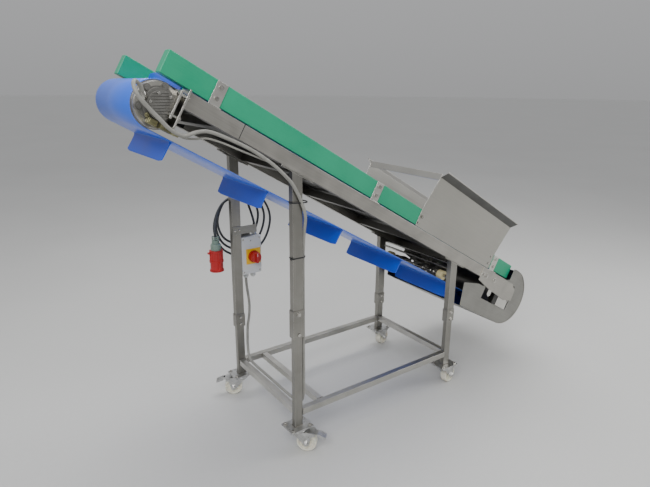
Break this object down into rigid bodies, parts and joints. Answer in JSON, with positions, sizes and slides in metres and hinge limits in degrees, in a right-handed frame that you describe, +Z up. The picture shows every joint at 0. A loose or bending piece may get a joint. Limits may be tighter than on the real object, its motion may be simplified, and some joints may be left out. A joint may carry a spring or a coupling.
{
  "type": "mobile inclined belt conveyor",
  "caption": "Mobile inclined flighted belt conveyor with plastic skirt guides, feed hopper, drive drum, height-adjustable stand and swivel casters.",
  "frame": {"origin": "floor level at the centre of the object's footprint", "axes": "+X down the belt towards the infeed and hopper end, +Y across the belt away from the drive side, +Z up"},
  "size_m": [1.9358, 0.6565, 1.4831],
  "materials": {
    "rail_steel": "brushed",
    "hopper_steel": "brushed, light",
    "base_steel": "satin",
    "green_plastic": "satin moulded",
    "bracket_steel": "satin",
    "bolt_steel": "bright",
    "belt_blue": "satin",
    "flight_blue": "satin",
    "drive_grey": "dull, oiled",
    "brass": "tarnished",
    "cable_grey": "matte",
    "cable_black": "matte",
    "drum_steel": "turned",
    "cream_plastic": "satin",
    "white_nylon": "satin, scuffed",
    "box_grey": "satin",
    "yellow_plastic": "semi-gloss",
    "red_plastic": "semi-gloss",
    "plug_green": "satin"
  },
  "bodies": {
    "base": {"base_side_rails": "base_steel", "base_end_rails": "base_steel", "lower_legs": "base_steel", "caster_plates": "bracket_steel", "base_cable": "cable_grey"},
    "conveyor": {"side_rail_near": "rail_steel", "side_rail_far": "rail_steel", "slider_bed": "rail_steel", "cross_members": "rail_steel", "guide_near": "green_plastic", "guide_far": "green_plastic", "guide_brackets": "bracket_steel", "hex_bolts": "bolt_steel", "head_plates": "rail_steel", "head_flanges": "rail_steel", "motor_housing": "drive_grey", "motor_cover": "drive_grey", "head_bearing": "drive_grey", "motor_gland": "brass", "motor_cable": "cable_grey", "tail_arms": "rail_steel", "tail_guard_sides": "rail_steel", "tail_guard_wrap": "rail_steel", "belt": "belt_blue", "flights": "flight_blue", "hopper_near": "hopper_steel", "hopper_far": "hopper_steel", "hopper_back": "hopper_steel", "hopper_brace": "hopper_steel", "upper_legs": "rail_steel", "leg_collars": "rail_steel", "clamp_bolts": "bolt_steel", "enclosure_box": "box_grey", "enclosure_lid": "box_grey", "switch_plate": "yellow_plastic", "box_bracket": "rail_steel", "box_glands": "box_grey", "supply_cable": "cable_black", "plug_body": "red_plastic", "plug_cap": "plug_green", "cable_ties": "cable_black", "cable_hook": "rail_steel", "tie_rods": "bolt_steel", "idler_shaft": "bolt_steel"},
    "head_drum": {"head_drum": "drum_steel"},
    "takeup": {"takeup_blocks": "bracket_steel"},
    "tail_drum": {"tail_drum": "drum_steel"},
    "idler": {"idler_rollers": "cream_plastic"},
    "switch": {"switch_knob": "red_plastic"},
    "caster_1": {"caster_fork_1": "bracket_steel"},
    "wheel_1": {"caster_wheel_1": "white_nylon"},
    "brake_1": {"brake_pedal_1": "bracket_steel"},
    "caster_2": {"caster_fork_2": "bracket_steel"},
    "wheel_2": {"caster_wheel_2": "white_nylon"},
    "brake_2": {"brake_pedal_2": "bracket_steel"},
    "caster_3": {"caster_fork_3": "bracket_steel"},
    "wheel_3": {"caster_wheel_3": "white_nylon"},
    "caster_4": {"caster_fork_4": "bracket_steel"},
    "wheel_4": {"caster_wheel_4": "white_nylon"}
  },
  "joints": [
    {"name": "height_adjust", "type": "slide", "parent": "base", "child": "conveyor", "axis": [0, 0, 1], "range_m": [0, 0.1]},
    {"name": "head_drum_spin", "type": "hinge", "parent": "conveyor", "child": "head_drum", "pos_m": [-0.88611, 0.01, 1.33126], "axis": [0, 1, 0], "continuous": true},
    {"name": "takeup_slide", "type": "slide", "parent": "conveyor", "child": "takeup", "axis": [0.8686, 0, -0.4955], "range_m": [-0.02, 0]},
    {"name": "tail_drum_spin", "type": "hinge", "parent": "takeup", "child": "tail_drum", "pos_m": [0.81554, 0.01, 0.36066], "axis": [0, 1, 0], "continuous": true},
    {"name": "idler_spin", "type": "hinge", "parent": "conveyor", "child": "idler", "pos_m": [0.40314, 0.01, 0.53983], "axis": [0, 1, 0], "continuous": true},
    {"name": "switch_turn", "type": "hinge", "parent": "conveyor", "child": "switch", "pos_m": [-0.367, 0.241, 0.664], "axis": [0, -1, 0], "range_deg": [0, 90]},
    {"name": "caster_1_swivel", "type": "hinge", "parent": "base", "child": "caster_1", "pos_m": [-0.443, -0.232, 0.095], "axis": [0, 0, 1], "continuous": true},
    {"name": "wheel_1_spin", "type": "hinge", "parent": "caster_1", "child": "wheel_1", "pos_m": [-0.41613, -0.25887, 0.04], "axis": [0.7071, 0.7071, 0], "continuous": true},
    {"name": "brake_1_press", "type": "hinge", "parent": "caster_1", "child": "brake_1", "pos_m": [-0.39633, -0.27867, 0.081], "axis": [0.7071, 0.7071, 0], "range_deg": [0, 18]},
    {"name": "caster_2_swivel", "type": "hinge", "parent": "base", "child": "caster_2", "pos_m": [-0.443, 0.252, 0.095], "axis": [0, 0, 1], "continuous": true},
    {"name": "wheel_2_spin", "type": "hinge", "parent": "caster_2", "child": "wheel_2", "pos_m": [-0.47591, 0.271, 0.04], "axis": [-0.5, -0.866, 0], "continuous": true},
    {"name": "brake_2_press", "type": "hinge", "parent": "caster_2", "child": "brake_2", "pos_m": [-0.50016, 0.285, 0.081], "axis": [-0.5, -0.866, 0], "range_deg": [0, 18]},
    {"name": "caster_3_swivel", "type": "hinge", "parent": "base", "child": "caster_3", "pos_m": [0.394, -0.232, 0.095], "axis": [0, 0, 1], "continuous": true},
    {"name": "wheel_3_spin", "type": "hinge", "parent": "caster_3", "child": "wheel_3", "pos_m": [0.43142, -0.2254, 0.04], "axis": [-0.1736, 0.9848, 0], "continuous": true},
    {"name": "caster_4_swivel", "type": "hinge", "parent": "base", "child": "caster_4", "pos_m": [0.394, 0.252, 0.095], "axis": [0, 0, 1], "continuous": true},
    {"name": "wheel_4_spin", "type": "hinge", "parent": "caster_4", "child": "wheel_4", "pos_m": [0.43103, 0.26055, 0.04], "axis": [-0.225, 0.9744, 0], "continuous": true}
  ],
  "couplings": [
    {"joint": "tail_drum_spin", "follows": "head_drum_spin", "ratio": 1},
    {"joint": "idler_spin", "follows": "head_drum_spin", "ratio": 3.2558}
  ]
}
